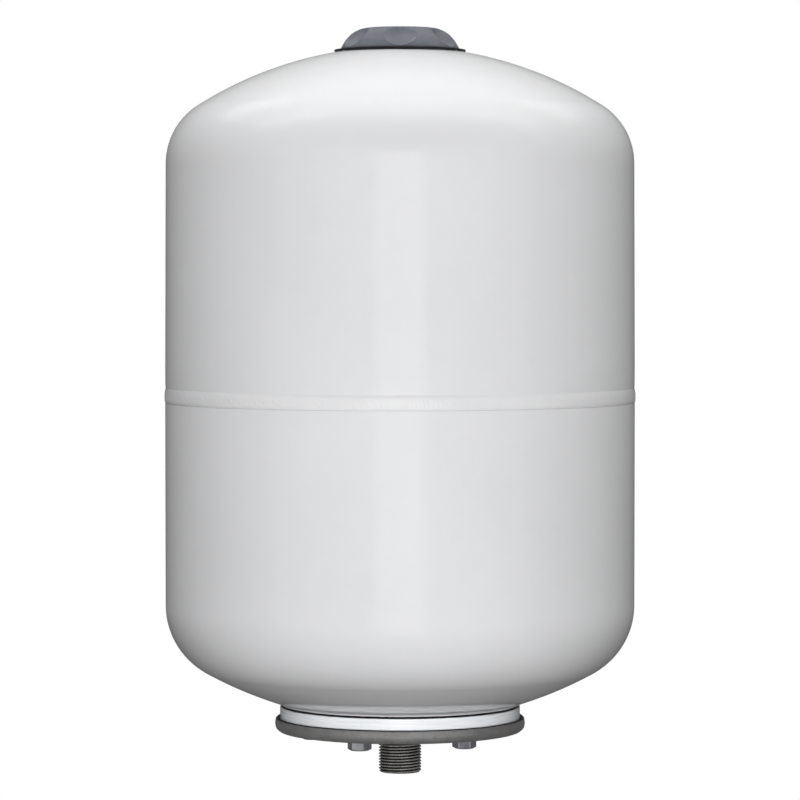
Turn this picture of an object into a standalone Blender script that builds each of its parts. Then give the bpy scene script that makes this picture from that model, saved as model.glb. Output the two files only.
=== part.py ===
# Expansion vessel, 24 litre class, replaceable-membrane type.
# Standing frame: origin at the centre of the water connector's lower end
# face, +Z up along the vessel's axis, front towards -Y.
# Lengths below are written in millimetres and multiplied by MM.

import math

import bmesh
import bpy
from mathutils import Matrix, Vector

MM = 0.001

# ------------------------------------------------------------ driving sizes
BODY_R = 145.0            # outer radius of the pressed shells at the weld
WALL = 1.2                # shell sheet thickness
UPPER_END_R = 144.43      # the upper shell draws in a little towards its dome
SHELL_SEG = 40            # facets round every large turned piece

TOP_TANGENT_Z = 376.25    # where the upper cylinder meets its knuckle
TOP_KNUCKLE = 42.64
TOP_CROWN = 232.49
TOP_APEX_Z = 448.43
TOP_SLOPE = math.radians(32.4)

BOT_TANGENT_Z = 104.08
BOT_KNUCKLE = 46.84
BOT_CROWN = 248.86
BOT_APEX_Z = 31.84
BOT_SLOPE = math.radians(29.06)

WELD_Z = 233.1            # middle of the girth weld
WELD_HALF = 3.8
WELD_PROUD = 0.45
LIP_R = 143.4             # outer radius of the joggled lip
LIP_TOP_Z = 243.0

NECK_HOLE_R = 61.0        # hole in the lower dome for the neck
NECK_LAND_Z = 42.3        # underside of the flat land round that hole
NECK_LAND_R = 73.9

RING_R = 74.3             # neck ring, welded to the lower shell
RING_BORE_R = 46.0
RING_Z0, RING_Z1 = 32.6, 41.0
SPIGOT_R = 60.6
SPIGOT_TOP_Z = 48.0

FLANGE_RIM_R = 77.5       # counterflange, pressed with a rolled rim
FLANGE_Z0, FLANGE_PLATE_Z1, FLANGE_RIM_Z1 = 25.8, 29.3, 34.25
FLANGE_RIM_IN_R = 74.7
FLANGE_HOLE_R = 13.6

BOLTS = 5
BOLT_STEP = 360.0 / BOLTS
BOLT_PCD_R = 55.0
BOLT_FIRST_AZ = -26.5     # degrees from the front, towards +X
BOLT_R = 4.0
BOLT_HOLE_R = 4.35
BOLT_HEAD_AF = 13.0
BOLT_HEAD_H = 6.4
BOLT_TIP_Z = 42.15
TAP_TOP_Z = 43.6          # blind end of the tapped holes in the ring

PORT_R = 13.22            # G 3/4 male thread, over the crests
PORT_ROOT_R = 12.06
PORT_BORE_R = 10.5
PORT_TOP_Z = 32.0

BAG_R = 97.0              # membrane in its moulded shape
BAG_WALL = 2.0
BAG_NECK_R = 45.6
BAG_LIP_R = 50.0
BAG_LIP_Z0, BAG_LIP_Z1 = 29.6, 32.3
BAG_TOP_Z = 385.0

BOSS_HOLE_R = 9.3         # valve boss in the upper dome
BOSS_NECK_R = 9.0
BOSS_FLANGE_R = 14.0
BOSS_Z0, BOSS_SEAT_Z, BOSS_TOP_Z = 442.0, 448.75, 450.6
BOSS_BORE_R = 5.3

STEM_R = 6.0              # valve stem, M12 outside for the cap
STEM_NECK_R = 5.0
STEM_BORE_R = 3.3
STEM_Z0, STEM_SHOULDER_Z, STEM_TOP_Z = 437.0, 451.7, 456.9

CAP_R = 36.6              # valve cap
CAP_Z0, CAP_Z1 = 446.9, 460.0
CAP_WALL = 2.4
CAP_DIMPLES = 6
CAP_BOSS_R = 9.2
CAP_THREAD_R = 6.35
CAP_BOSS_Z0 = 452.2
CAP_CEILING_Z = 457.6

GASKET_R = 40.5
GASKET_IN_R = 35.6
GASKET_TOP_Z = 446.6

GAP = 0.3                 # running and seating gap between touching faces


# ------------------------------------------------------------------ helpers
def clear_scene():
    for obj in list(bpy.data.objects):
        bpy.data.objects.remove(obj, do_unlink=True)
    for mesh in list(bpy.data.meshes):
        bpy.data.meshes.remove(mesh)
    for mat in list(bpy.data.materials):
        bpy.data.materials.remove(mat)


def material(name, colour, rough, metal):
    mat = bpy.data.materials.get(name)
    if mat is None:
        mat = bpy.data.materials.new(name)
        mat.use_nodes = True
        bsdf = mat.node_tree.nodes["Principled BSDF"]
        bsdf.inputs["Base Color"].default_value = (*colour, 1.0)
        bsdf.inputs["Roughness"].default_value = rough
        bsdf.inputs["Metallic"].default_value = metal
        mat.diffuse_color = (*colour, 1.0)
    return mat


def link(obj):
    bpy.context.scene.collection.objects.link(obj)
    return obj


def as_object(name, bm, mat, origin=(0, 0, 0), smooth=True, sharp=35.0):
    """A bmesh in world millimetres becomes an object whose origin is given."""
    bmesh.ops.translate(bm, verts=bm.verts, vec=-Vector(origin))
    bmesh.ops.scale(bm, verts=bm.verts, vec=(MM, MM, MM))
    bmesh.ops.recalc_face_normals(bm, faces=bm.faces)
    mesh = bpy.data.meshes.new(name)
    bm.to_mesh(mesh)
    bm.free()
    if smooth:
        mesh.shade_smooth()
        mesh.set_sharp_from_angle(angle=math.radians(sharp))
    obj = bpy.data.objects.new(name, mesh)
    obj.location = Vector(origin) * MM
    if mat is not None:
        mesh.materials.append(mat)
    return link(obj)


def turned_bm(profile, steps):
    """Spins a closed (radius, height) outline once round the Z axis."""
    bm = bmesh.new()
    verts = [bm.verts.new((r, 0.0, z)) for r, z in profile]
    edges = [bm.edges.new((verts[i], verts[(i + 1) % len(verts)]))
             for i in range(len(verts))]
    bmesh.ops.spin(bm, geom=verts + edges, cent=(0, 0, 0), axis=(0, 0, 1),
                   angle=2 * math.pi, steps=steps, use_duplicate=False)
    bmesh.ops.remove_doubles(bm, verts=bm.verts, dist=0.01)
    loose = [e for e in bm.edges if not e.link_faces]
    if loose:
        bmesh.ops.delete(bm, geom=loose, context='EDGES')
    thin = [f for f in bm.faces if f.calc_area() < 1e-7]
    if thin:
        bmesh.ops.delete(bm, geom=thin, context='FACES_ONLY')
    return bm


def turned(name, profile, mat, steps=SHELL_SEG, origin=(0, 0, 0)):
    return as_object(name, turned_bm(profile, steps), mat, origin)


def cutter(name, bm, origin=(0, 0, 0)):
    obj = as_object(name, bm, None, origin, smooth=False)
    obj.hide_render = True
    obj.display_type = 'WIRE'
    return obj


def boolean(obj, tool, operation, name):
    mod = obj.modifiers.new(name, 'BOOLEAN')
    mod.operation = operation
    mod.solver = 'EXACT'
    mod.object = tool
    return mod


def arc(cr, cz, radius, a0, a1, steps):
    """Points on an arc in the (radius, height) plane, both ends included."""
    out = []
    for i in range(steps + 1):
        a = a0 + (a1 - a0) * i / steps
        out.append((cr + radius * math.cos(a), cz + radius * math.sin(a)))
    return out


def at_azimuth(radius, degrees, z):
    """Azimuth 0 is the front (-Y); it grows towards +X."""
    a = math.radians(degrees)
    return Vector((radius * math.sin(a), -radius * math.cos(a), z))


# ---------------------------------------------------------- dome profiles
def top_dome(offset, r_end, knuckle_steps=4, crown_steps=5):
    """Outline of the upper dome from the tangent line in to r_end; offset
    moves it inwards, through the thickness of the sheet."""
    crown_centre = TOP_APEX_Z - TOP_CROWN
    knuckle_r = UPPER_END_R - TOP_KNUCKLE
    pts = arc(knuckle_r, TOP_TANGENT_Z, TOP_KNUCKLE - offset,
              0.0, math.pi / 2 - TOP_SLOPE, knuckle_steps)
    crown = TOP_CROWN - offset
    start = math.pi / 2 - TOP_SLOPE
    stop = math.acos(r_end / crown)
    for i in range(1, crown_steps + 1):
        a = start + (stop - start) * i / crown_steps
        pts.append((crown * math.cos(a), crown_centre + crown * math.sin(a)))
    return pts


def bottom_dome(offset, r_end, knuckle_steps=4, crown_steps=4):
    """Outline of the lower dome, from the tangent line in to r_end."""
    crown_centre = BOT_APEX_Z + BOT_CROWN
    knuckle_r = 144.97 - BOT_KNUCKLE
    pts = arc(knuckle_r, BOT_TANGENT_Z, BOT_KNUCKLE - offset,
              0.0, -(math.pi / 2 - BOT_SLOPE), knuckle_steps)
    crown = BOT_CROWN - offset
    start = -(math.pi / 2 - BOT_SLOPE)
    stop = -math.acos(r_end / crown)
    for i in range(1, crown_steps + 1):
        a = start + (stop - start) * i / crown_steps
        pts.append((crown * math.cos(a), crown_centre + crown * math.sin(a)))
    return pts


def top_dome_z(r):
    return TOP_APEX_Z - TOP_CROWN + math.sqrt(TOP_CROWN ** 2 - r ** 2)


# -------------------------------------------------------------------- model
clear_scene()

PAINT = material("white_enamel", (0.86, 0.87, 0.88), 0.22, 0.0)
ZINC = material("zinc_plate", (0.46, 0.47, 0.49), 0.42, 0.9)
THREAD = material("connector_steel", (0.22, 0.22, 0.23), 0.35, 0.9)
BOLT_STEEL = material("bolt_zinc", (0.56, 0.56, 0.60), 0.25, 1.0)
BRASS = material("valve_brass", (0.78, 0.62, 0.30), 0.28, 1.0)
BARE = material("bare_weld", (0.33, 0.33, 0.34), 0.5, 0.8)
RUBBER = material("membrane_rubber", (0.05, 0.05, 0.055), 0.7, 0.0)
SEAL = material("seal_rubber", (0.02, 0.02, 0.022), 0.65, 0.0)
PLASTIC = material("cap_plastic", (0.13, 0.14, 0.16), 0.42, 0.0)
SPRING = material("spring_steel", (0.6, 0.6, 0.62), 0.3, 1.0)
FIBRE = material("fibre_washer", (0.45, 0.16, 0.10), 0.7, 0.0)

# Upper shell: plain skirt, then knuckle and crown up to the valve hole.
outer = [(BODY_R, WELD_Z + WELD_HALF)] + top_dome(0.0, BOSS_HOLE_R)
inner = [(BODY_R - WALL, WELD_Z + WELD_HALF)] + top_dome(WALL, BOSS_HOLE_R)
turned("upper_shell", outer + inner[::-1], PAINT)

# Lower shell: its top edge steps in to a lip that slides inside the upper
# shell; the flat land at the foot takes the neck ring.
step_z = WELD_Z - WELD_HALF
outer = [(NECK_HOLE_R, NECK_LAND_Z), (NECK_LAND_R, NECK_LAND_Z)]
outer += bottom_dome(0.0, NECK_LAND_R + 0.4)[::-1]
outer += [(BODY_R, step_z), (LIP_R, step_z + 0.6), (LIP_R, LIP_TOP_Z)]
inner = [(NECK_HOLE_R, NECK_LAND_Z + WALL),
         (NECK_LAND_R - 0.2, NECK_LAND_Z + WALL)]
inner += bottom_dome(WALL, NECK_LAND_R + 1.4)[::-1]
inner += [(BODY_R - WALL, step_z - 1.0), (LIP_R - WALL, step_z - 0.3),
          (LIP_R - WALL, LIP_TOP_Z)]
turned("lower_shell", outer + inner[::-1], PAINT)

# Girth weld: fills the groove between the two shells and stands a little
# proud of them, with a crowned face.
w0, w1 = WELD_Z - WELD_HALF + GAP + 0.75, WELD_Z + WELD_HALF - GAP
turned("girth_weld", [
    (LIP_R + GAP, w0), (LIP_R + GAP, w1), (BODY_R + 0.05, w1),
    (BODY_R + WELD_PROUD * 0.8, WELD_Z + WELD_HALF * 0.55),
    (BODY_R + WELD_PROUD, WELD_Z + 0.3),
    (BODY_R + WELD_PROUD * 0.8, WELD_Z - WELD_HALF * 0.5),
    (BODY_R + 0.05, w0)], PAINT)

# Neck ring: thick machined ring under the lower dome, with a spigot through
# the dome's hole and blind tapped holes for the flange bolts.
ring = turned("neck_ring", [
    (RING_BORE_R, RING_Z0), (RING_R - 0.4, RING_Z0), (RING_R, RING_Z0 + 0.4),
    (RING_R, RING_Z1 - 0.4), (RING_R - 0.4, RING_Z1),
    (SPIGOT_R, RING_Z1), (SPIGOT_R, SPIGOT_TOP_Z),
    (RING_BORE_R, SPIGOT_TOP_Z)], PAINT)

turned("neck_weld", [
    (SPIGOT_R + GAP, NECK_LAND_Z + WALL + GAP),
    (SPIGOT_R + 3.6, NECK_LAND_Z + WALL + GAP),
    (SPIGOT_R + 1.4, NECK_LAND_Z + WALL + 1.6),
    (SPIGOT_R + GAP, NECK_LAND_Z + WALL + 3.4)], BARE)

# Membrane: a rubber bag, open at its foot, whose lip is clamped between the
# neck ring and the counterflange.
bag_out = [(BAG_LIP_R, BAG_LIP_Z0), (BAG_LIP_R, BAG_LIP_Z1),
           (BAG_NECK_R, BAG_LIP_Z1), (BAG_NECK_R, 52.0), (52.0, 62.0),
           (78.0, 86.0), (92.5, 112.0), (BAG_R, 150.0), (BAG_R, 300.0),
           (91.0, 338.0), (72.0, 366.0), (40.0, 381.0), (0.0, BAG_TOP_Z)]
bag_in = [(BAG_NECK_R - BAG_WALL, BAG_LIP_Z0), (BAG_NECK_R - BAG_WALL, 52.8),
          (50.5, 63.4), (76.4, 87.2), (90.6, 112.6), (BAG_R - BAG_WALL, 150.2),
          (BAG_R - BAG_WALL, 299.8), (89.2, 337.0), (70.9, 364.4),
          (39.4, 379.1), (0.0, BAG_TOP_Z - BAG_WALL)]
turned("bladder", bag_out + bag_in[::-1], RUBBER, steps=24)

# Counterflange: pressed plate with a rolled rim that laps the neck ring.
flange = turned("counterflange", [
    (FLANGE_HOLE_R, FLANGE_Z0), (FLANGE_RIM_R - 2.6, FLANGE_Z0),
    (FLANGE_RIM_R - 1.0, FLANGE_Z0 + 0.7),
    (FLANGE_RIM_R - 0.15, FLANGE_Z0 + 2.4),
    (FLANGE_RIM_R, FLANGE_Z0 + 4.1), (FLANGE_RIM_R - 0.3, FLANGE_Z0 + 6.2),
    (FLANGE_RIM_R - 1.2, FLANGE_RIM_Z1), (FLANGE_RIM_IN_R, FLANGE_RIM_Z1),
    (FLANGE_RIM_IN_R, FLANGE_PLATE_Z1 + 1.0),
    (FLANGE_RIM_IN_R - 1.0, FLANGE_PLATE_Z1),
    (FLANGE_HOLE_R, FLANGE_PLATE_Z1)], ZINC)

# Bolt holes through the ring and the flange.
drills = bmesh.new()
for k in range(BOLTS):
    at = at_azimuth(BOLT_PCD_R, BOLT_FIRST_AZ + BOLT_STEP * k,
                    (TAP_TOP_Z + 20.0) / 2)
    bmesh.ops.create_cone(drills, cap_ends=True, cap_tris=False, segments=16,
                          radius1=BOLT_HOLE_R, radius2=BOLT_HOLE_R,
                          depth=TAP_TOP_Z - 20.0,
                          matrix=Matrix.Translation(at))
drill = cutter("bolt_hole_drills", drills)
boolean(ring, drill, 'DIFFERENCE', "tapped_holes")
boolean(flange, drill, 'DIFFERENCE', "bolt_holes")

# Water connector: G 3/4 nipple through the flange, thread shown as a
# stepped relief at its start and its run-out.
turned("water_connector", [
    (PORT_BORE_R, 0.0), (PORT_R - 1.0, 0.0), (PORT_R, 1.0),
    (PORT_R, 23.6), (PORT_R - 0.25, 24.0), (PORT_R - 0.25, PORT_TOP_Z),
    (PORT_BORE_R, PORT_TOP_Z)], THREAD, steps=32)

turned("connector_weld", [
    (PORT_R + 0.1, FLANGE_PLATE_Z1 + GAP), (PORT_R + 3.4, FLANGE_PLATE_Z1 + GAP),
    (PORT_R + 1.3, FLANGE_PLATE_Z1 + 1.2), (PORT_R + 0.1, FLANGE_PLATE_Z1 + 2.5)],
    BARE, steps=32)

# Flange bolts: M8 hexagon heads below, shanks up through flange and ring.
# One bolt is modelled at the origin, its bearing face at height 0.
head = bmesh.new()
bmesh.ops.create_cone(head, cap_ends=True, cap_tris=False, segments=6,
                      radius1=BOLT_HEAD_AF / math.sqrt(3),
                      radius2=BOLT_HEAD_AF / math.sqrt(3), depth=BOLT_HEAD_H,
                      matrix=Matrix.Translation((0, 0, -BOLT_HEAD_H / 2)))
bolt = as_object("bolt_master", head, BOLT_STEEL, smooth=False)
corner = BOLT_HEAD_AF / math.sqrt(3)
chamfer = cutter("bolt_chamfer", turned_bm([
    (0.0, -BOLT_HEAD_H), (BOLT_HEAD_AF * 0.475, -BOLT_HEAD_H),
    (corner + 0.2, -BOLT_HEAD_H + 1.0), (corner + 0.2, 1.0), (0.0, 1.0)], 24))
shank = cutter("bolt_shank", turned_bm([
    (0.0, -1.0), (BOLT_R, -1.0),
    (BOLT_R, BOLT_TIP_Z - FLANGE_Z0 + GAP - 0.8),
    (BOLT_R - 0.8, BOLT_TIP_Z - FLANGE_Z0 + GAP),
    (0.0, BOLT_TIP_Z - FLANGE_Z0 + GAP)], 12))
boolean(bolt, chamfer, 'INTERSECT', "chamfered_corners")
boolean(bolt, shank, 'UNION', "shank")
bpy.context.view_layer.update()
graph = bpy.context.evaluated_depsgraph_get()
bolt_mesh = bpy.data.meshes.new_from_object(bolt.evaluated_get(graph))
bolt_mesh.name = "m8_bolt"
for obj in (bolt, chamfer, shank):
    bpy.data.objects.remove(obj, do_unlink=True)
if not bolt_mesh.materials:
    bolt_mesh.materials.append(BOLT_STEEL)
bolt_mesh.shade_smooth()
bolt_mesh.set_sharp_from_angle(angle=math.radians(28))
HEAD_TURN = (48.5, 44.5, 4.0, 27.0, 11.0)   # as tightened
for k in range(BOLTS):
    az = BOLT_FIRST_AZ + BOLT_STEP * k
    obj = bpy.data.objects.new("flange_bolt_%d" % (k + 1), bolt_mesh)
    obj.location = at_azimuth(BOLT_PCD_R, az, FLANGE_Z0 - GAP) * MM
    obj.rotation_euler = (0.0, 0.0, math.radians(az + HEAD_TURN[k]))
    link(obj)

# Valve boss: turned steel bush, welded into the top of the upper dome.
turned("valve_boss", [
    (BOSS_BORE_R, BOSS_Z0), (BOSS_NECK_R, BOSS_Z0),
    (BOSS_NECK_R, BOSS_SEAT_Z), (BOSS_FLANGE_R, BOSS_SEAT_Z),
    (BOSS_FLANGE_R, BOSS_TOP_Z - 0.4), (BOSS_FLANGE_R - 0.4, BOSS_TOP_Z),
    (BOSS_BORE_R, BOSS_TOP_Z)], PAINT, steps=24)

r0, r1 = BOSS_FLANGE_R + GAP, BOSS_FLANGE_R + 3.2
turned("valve_boss_weld", [
    (r0, top_dome_z(r0) + GAP + 0.05), (r1, top_dome_z(r1) + GAP + 0.05),
    (r0 + 1.2, top_dome_z(r0) + 1.3), (r0, BOSS_TOP_Z - 0.6)], PAINT, steps=24)

# Valve stem with its washer, core, sprung pin and pin seal.
turned("stem_washer", [
    (STEM_NECK_R + GAP, BOSS_TOP_Z + GAP), (8.0, BOSS_TOP_Z + GAP),
    (8.0, STEM_SHOULDER_Z - GAP), (STEM_NECK_R + GAP, STEM_SHOULDER_Z - GAP)],
    FIBRE, steps=24)

turned("valve_stem", [
    (STEM_BORE_R, STEM_Z0), (STEM_NECK_R - 0.4, STEM_Z0),
    (STEM_NECK_R, STEM_Z0 + 0.4), (STEM_NECK_R, STEM_SHOULDER_Z),
    (STEM_R, STEM_SHOULDER_Z), (STEM_R, STEM_TOP_Z - 0.5),
    (STEM_R - 0.5, STEM_TOP_Z), (STEM_BORE_R, STEM_TOP_Z)], BRASS, steps=24)

CORE_R = STEM_BORE_R - GAP
turned("valve_core", [
    (1.25, 441.4), (CORE_R - 0.5, 441.4), (CORE_R, 442.2), (CORE_R, 455.5),
    (1.25, 455.5), (1.25, 451.3), (1.95, 451.3), (1.95, 442.4),
    (1.25, 442.4)], BRASS, steps=16)

PIN_TOP_Z = 456.4
turned("valve_pin", [
    (0.0, 438.6), (2.2, 438.6), (2.2, 439.6), (0.85, 439.6), (0.85, 449.0),
    (1.6, 449.0), (1.6, 449.8), (0.85, 449.8), (0.85, PIN_TOP_Z - 0.3),
    (0.55, PIN_TOP_Z), (0.0, PIN_TOP_Z)], BRASS, steps=12,
    origin=(0, 0, PIN_TOP_Z))

turned("pin_seal", [
    (1.15, 439.9), (2.5, 439.9), (2.5, 441.1), (1.15, 441.1)], SEAL, steps=16,
    origin=(0, 0, PIN_TOP_Z))

# Pin spring: a helix of round wire between the core's lower ledge and the
# collar of the pin.
SPRING_Z0, SPRING_Z1 = 442.75, 448.7
SPRING_COIL_R, SPRING_WIRE_R, SPRING_TURNS = 1.42, 0.16, 5
curve = bpy.data.curves.new("pin_spring", 'CURVE')
curve.dimensions = '3D'
curve.bevel_depth = SPRING_WIRE_R * MM
curve.bevel_resolution = 0
curve.use_fill_caps = True
curve.render_resolution_u = 0
steps = SPRING_TURNS * 10
spline = curve.splines.new('POLY')
spline.points.add(steps)
low, high = SPRING_Z0 + SPRING_WIRE_R, SPRING_Z1 - SPRING_WIRE_R
for i in range(steps + 1):
    a = 2 * math.pi * SPRING_TURNS * i / steps
    z = low + (high - low) * i / steps
    spline.points[i].co = (SPRING_COIL_R * math.cos(a) * MM,
                           SPRING_COIL_R * math.sin(a) * MM, z * MM, 1.0)
curve.materials.append(SPRING)
link(bpy.data.objects.new("pin_spring", curve))


# Valve cap: flat-topped knob with six round finger hollows in its shoulder
# and a threaded boss inside.
CAP_PROFILE = ((CAP_R, CAP_Z0), (36.2, 448.0), (35.0, 450.1), (33.4, 452.6),
               (31.2, 455.1), (29.0, 456.9), (26.3, 458.4), (24.0, 459.3),
               (21.5, 459.85), (19.5, CAP_Z1), (0.0, CAP_Z1))
CAP_ROOM = ((CAP_R - CAP_WALL, CAP_Z0), (33.9, 447.6), (32.8, 449.3),
            (31.3, 451.4), (29.3, 453.6), (27.4, 455.1), (25.1, 456.4),
            (23.2, 457.1), (21.2, 457.5), (19.5, CAP_CEILING_Z))
HOLLOW_R = 22.0           # ball that leaves each hollow, 3 mm deep
HOLLOW_AT_R, HOLLOW_AT_Z, HOLLOW_TILT = 44.3, 468.2, 44.4


def hollows(grow):
    """Six balls round the cap's shoulder."""
    bm = bmesh.new()
    for k in range(CAP_DIMPLES):
        centre = at_azimuth(HOLLOW_AT_R, 60.0 * k, HOLLOW_AT_Z)
        turn = (Matrix.Rotation(math.radians(60.0 * k), 4, 'Z')
                @ Matrix.Rotation(math.radians(HOLLOW_TILT), 4, 'X'))
        bmesh.ops.create_uvsphere(bm, u_segments=24, v_segments=28,
                                  radius=HOLLOW_R + grow,
                                  matrix=Matrix.Translation(centre) @ turn)
    return bm


cap_mid = (0, 0, CAP_Z0)
cap = turned("valve_cap", [(0.0, CAP_Z0)] + list(CAP_PROFILE), PLASTIC,
             origin=cap_mid)
cavity = cutter("cap_cavity", turned_bm(
    [(0.0, CAP_Z0 - 2.0), (CAP_R - CAP_WALL, CAP_Z0 - 2.0)]
    + list(CAP_ROOM)
    + [(CAP_BOSS_R, CAP_CEILING_Z), (CAP_BOSS_R, CAP_BOSS_Z0),
       (CAP_THREAD_R, CAP_BOSS_Z0), (CAP_THREAD_R, CAP_CEILING_Z),
       (0.0, CAP_CEILING_Z)], SHELL_SEG), cap_mid)
inner_hollows = cutter("cap_inner_hollows", hollows(2.0), cap_mid)
boolean(cavity, inner_hollows, 'DIFFERENCE', "wall_behind_hollows")
outer_hollows = cutter("cap_outer_hollows", hollows(0.0), cap_mid)
boolean(cap, outer_hollows, 'DIFFERENCE', "finger_hollows")
boolean(cap, cavity, 'DIFFERENCE', "inside")

# Cap gasket: rubber ring between the cap's foot and the dome.
turned("cap_gasket", [
    (GASKET_IN_R, top_dome_z(GASKET_IN_R) + GAP),
    (GASKET_R - 0.3, top_dome_z(GASKET_R - 0.3) + GAP),
    (GASKET_R, top_dome_z(GASKET_R) + GAP + 0.3),
    (GASKET_R, GASKET_TOP_Z - 0.3), (GASKET_R - 0.3, GASKET_TOP_Z),
    (GASKET_IN_R, GASKET_TOP_Z)], SEAL, origin=(0, 0, GASKET_TOP_Z))

bpy.context.view_layer.update()
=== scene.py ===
import math

import bmesh
import bpy
import numpy as np
from mathutils import Matrix, Vector


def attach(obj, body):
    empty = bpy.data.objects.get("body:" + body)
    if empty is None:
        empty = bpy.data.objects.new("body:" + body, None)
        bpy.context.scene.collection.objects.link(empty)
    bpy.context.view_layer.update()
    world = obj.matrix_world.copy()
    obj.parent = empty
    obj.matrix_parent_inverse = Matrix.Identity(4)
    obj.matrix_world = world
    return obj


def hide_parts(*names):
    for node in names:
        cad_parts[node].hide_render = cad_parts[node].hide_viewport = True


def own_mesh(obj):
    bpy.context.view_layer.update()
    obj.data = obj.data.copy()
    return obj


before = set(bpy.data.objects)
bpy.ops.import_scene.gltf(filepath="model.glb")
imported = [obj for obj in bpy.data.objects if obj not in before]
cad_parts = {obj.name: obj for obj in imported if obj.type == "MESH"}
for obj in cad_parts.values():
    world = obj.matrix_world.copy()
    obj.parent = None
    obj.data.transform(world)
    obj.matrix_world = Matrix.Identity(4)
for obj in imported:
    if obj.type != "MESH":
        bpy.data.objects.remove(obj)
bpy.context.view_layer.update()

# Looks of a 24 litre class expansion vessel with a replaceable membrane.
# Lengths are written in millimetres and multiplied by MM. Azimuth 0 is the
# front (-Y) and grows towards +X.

MM = 0.001

# ------------------------------------------------------------ driving sizes
BODY_R, WALL, UPPER_END_R = 145.0, 1.2, 144.43
TOP_TANGENT_Z, TOP_KNUCKLE, TOP_CROWN = 376.25, 42.64, 232.49
TOP_APEX_Z, TOP_SLOPE = 448.43, math.radians(32.4)
BOT_TANGENT_Z, BOT_KNUCKLE, BOT_CROWN = 104.08, 46.84, 248.86
BOT_APEX_Z, BOT_SLOPE = 31.84, math.radians(29.06)
WELD_Z, WELD_HALF, WELD_PROUD = 233.1, 3.8, 0.45
LIP_R, LIP_TOP_Z = 143.4, 243.0
NECK_HOLE_R, NECK_LAND_Z, NECK_LAND_R = 61.0, 42.3, 73.9
RING_R, RING_BORE_R, RING_Z0, RING_Z1 = 74.3, 46.0, 32.6, 41.0
SPIGOT_R, SPIGOT_TOP_Z = 60.6, 48.0
RIM_R, FLANGE_Z0, PLATE_Z1, RIM_Z1, RIM_IN_R = 77.5, 25.8, 29.3, 34.25, 74.7
FLANGE_HOLE_R = 13.6
BOLTS, BOLT_STEP = 5, 72.0
BOLT_PCD_R, BOLT_FIRST_AZ, BOLT_HOLE_R = 55.0, -26.5, 4.35
BOLT_AF, BOLT_HEAD_H, BOLT_TIP_Z, TAP_TOP_Z = 13.0, 6.4, 42.15, 43.6
HEAD_TURN = (48.5, 44.5, 4.0, 27.0, 11.0)
PORT_R, PORT_BORE_R, PORT_TOP_Z, PORT_PITCH = 13.22, 10.5, 32.0, 1.814
BOSS_TOP_Z, BOSS_SEAT_Z = 450.6, 448.75
STEM_SHOULDER_Z, STEM_TOP_Z = 451.7, 456.9
CAP_R, CAP_Z0, CAP_Z1 = 36.6, 446.9, 460.0
GASKET_R, GASKET_IN_R, GASKET_TOP_Z = 40.5, 35.6, 446.6
GAP = 0.3


# ------------------------------------------------------------------ outlines
def arc(cr, cz, radius, a0, a1, steps):
    return [(cr + radius * math.cos(a0 + (a1 - a0) * i / steps),
             cz + radius * math.sin(a0 + (a1 - a0) * i / steps))
            for i in range(steps + 1)]


def rounded(points, steps=4):
    """A closed outline of (r, z, fillet) corners with each fillet drawn."""
    out = []
    n = len(points)
    for i in range(n):
        p = np.array(points[i][:2], float)
        fillet = points[i][2] if len(points[i]) > 2 else 0.0
        if fillet <= 0:
            out.append((p[0], p[1]))
            continue
        a = np.array(points[i - 1][:2], float) - p
        b = np.array(points[(i + 1) % n][:2], float) - p
        la, lb = np.linalg.norm(a), np.linalg.norm(b)
        a, b = a / la, b / lb
        half = math.acos(max(-1.0, min(1.0, float(a @ b)))) / 2
        if half > math.pi / 2 - 1e-3 or half < 1e-3:
            out.append((p[0], p[1]))
            continue
        reach = min(fillet / math.tan(half), 0.49 * la, 0.49 * lb)
        radius = reach * math.tan(half)
        centre = p + (a + b) / np.linalg.norm(a + b) * radius / math.sin(half)
        s, e = p + a * reach - centre, p + b * reach - centre
        turn = math.atan2(s[0] * e[1] - s[1] * e[0], float(s @ e))
        for k in range(steps + 1):
            t = turn * k / steps
            c, d = math.cos(t), math.sin(t)
            out.append((centre[0] + s[0] * c - s[1] * d,
                        centre[1] + s[0] * d + s[1] * c))
    return out


def top_dome(offset, r_end, knuckle, crown_steps):
    centre_z, knuckle_r = TOP_APEX_Z - TOP_CROWN, UPPER_END_R - TOP_KNUCKLE
    start = math.pi / 2 - TOP_SLOPE
    crown = TOP_CROWN - offset
    pts = arc(knuckle_r, TOP_TANGENT_Z, TOP_KNUCKLE - offset, 0.0, start,
              knuckle)
    pts += arc(0.0, centre_z, crown, start, math.acos(r_end / crown),
               crown_steps)[1:]
    return pts


def bottom_dome(offset, r_end, knuckle, crown_steps):
    centre_z, knuckle_r = BOT_APEX_Z + BOT_CROWN, 144.97 - BOT_KNUCKLE
    start = -(math.pi / 2 - BOT_SLOPE)
    crown = BOT_CROWN - offset
    pts = arc(knuckle_r, BOT_TANGENT_Z, BOT_KNUCKLE - offset, 0.0, start,
              knuckle)
    pts += arc(0.0, centre_z, crown, start, -math.acos(r_end / crown),
               crown_steps)[1:]
    return pts


def top_dome_z(r):
    return TOP_APEX_Z - TOP_CROWN + math.sqrt(TOP_CROWN ** 2 - r ** 2)


def smooth_line(points, per):
    """Catmull-Rom curve through the points, per steps to a span."""
    p = np.array(points, float)
    p = np.vstack([2 * p[0] - p[1], p, 2 * p[-1] - p[-2]])
    out = []
    for i in range(1, len(p) - 2):
        for k in range(per):
            t = k / per
            out.append(0.5 * ((2 * p[i]) + (p[i + 1] - p[i - 1]) * t
                              + (2 * p[i - 1] - 5 * p[i] + 4 * p[i + 1]
                                 - p[i + 2]) * t * t
                              + (3 * p[i] - p[i - 1] - 3 * p[i + 1]
                                 + p[i + 2]) * t ** 3))
    out.append(p[-2])
    return [(max(0.0, float(a)), float(b)) for a, b in out]


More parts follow.
